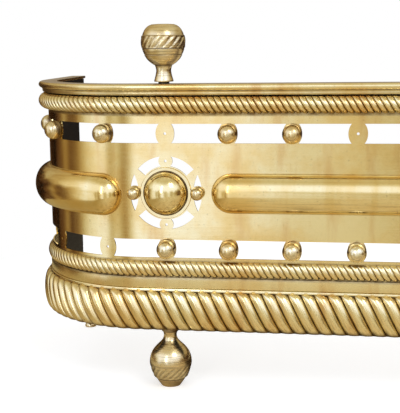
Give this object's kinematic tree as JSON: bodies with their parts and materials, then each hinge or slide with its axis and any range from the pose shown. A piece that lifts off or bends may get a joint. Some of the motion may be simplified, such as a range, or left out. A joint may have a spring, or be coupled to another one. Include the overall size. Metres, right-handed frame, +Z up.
{
  "type": "fire fender",
  "caption": "U-shaped brass hearth fender with pierced sheet wall, rope and gadroon mouldings, hollow bosses, ball finials and ball feet.",
  "frame": {"origin": "on the floor, under the middle of the bounding box", "axes": "+Z up, the front faces -Y, the open side faces +Y, +X to the right seen from the front"},
  "size_m": [0.9534, 0.2136, 0.3213],
  "materials": {
    "sheet_brass": "polished, lightly scratched",
    "pressed_brass": "polished",
    "moulding_brass": "polished with dark recesses",
    "rail_brass": "dulled on top, polished at the nose",
    "turned_brass": "turned and worn",
    "black_iron": "blackened",
    "nut_steel": "dull"
  },
  "bodies": {
    "root": {"pierced_wall": "sheet_brass", "gadroon_moulding": "moulding_brass", "base_fillet": "moulding_brass", "lower_rope_moulding": "moulding_brass", "upper_rope_moulding": "moulding_brass", "top_rail": "rail_brass", "iron_top_bar": "black_iron", "iron_base_frame": "black_iron", "end_plate_left": "black_iron", "end_plate_right": "black_iron", "long_boss": "pressed_brass", "corner_boss_left": "pressed_brass", "corner_boss_right": "pressed_brass", "rosette_dome_left": "pressed_brass", "rosette_ball_left_outer": "turned_brass", "rosette_ball_left_inner": "turned_brass", "rosette_dome_right": "pressed_brass", "rosette_ball_right_outer": "turned_brass", "rosette_ball_right_inner": "turned_brass", "upper_ball_centre": "turned_brass", "upper_ball_left_1": "turned_brass", "upper_ball_left_2": "turned_brass", "upper_ball_left_4": "turned_brass", "upper_ball_left_5": "turned_brass", "upper_ball_left_7": "turned_brass", "upper_ball_left_corner": "turned_brass", "upper_ball_left_return": "turned_brass", "upper_ball_right_1": "turned_brass", "upper_ball_right_2": "turned_brass", "upper_ball_right_4": "turned_brass", "upper_ball_right_5": "turned_brass", "upper_ball_right_7": "turned_brass", "upper_ball_right_corner": "turned_brass", "upper_ball_right_return": "turned_brass", "lower_ball_centre": "turned_brass", "lower_ball_left_1": "turned_brass", "lower_ball_left_2": "turned_brass", "lower_ball_left_3": "turned_brass", "lower_ball_left_4": "turned_brass", "lower_ball_left_5": "turned_brass", "lower_ball_left_6": "turned_brass", "lower_ball_right_1": "turned_brass", "lower_ball_right_2": "turned_brass", "lower_ball_right_3": "turned_brass", "lower_ball_right_4": "turned_brass", "lower_ball_right_5": "turned_brass", "lower_ball_right_6": "turned_brass", "finial_left": "turned_brass", "finial_washer_left": "black_iron", "finial_right": "turned_brass", "finial_washer_right": "black_iron", "front_foot_left": "turned_brass", "foot_nut_left": "nut_steel", "front_foot_right": "turned_brass", "foot_nut_right": "nut_steel", "rear_foot_left": "turned_brass", "rear_foot_right": "turned_brass"}
  },
  "joints": []
}
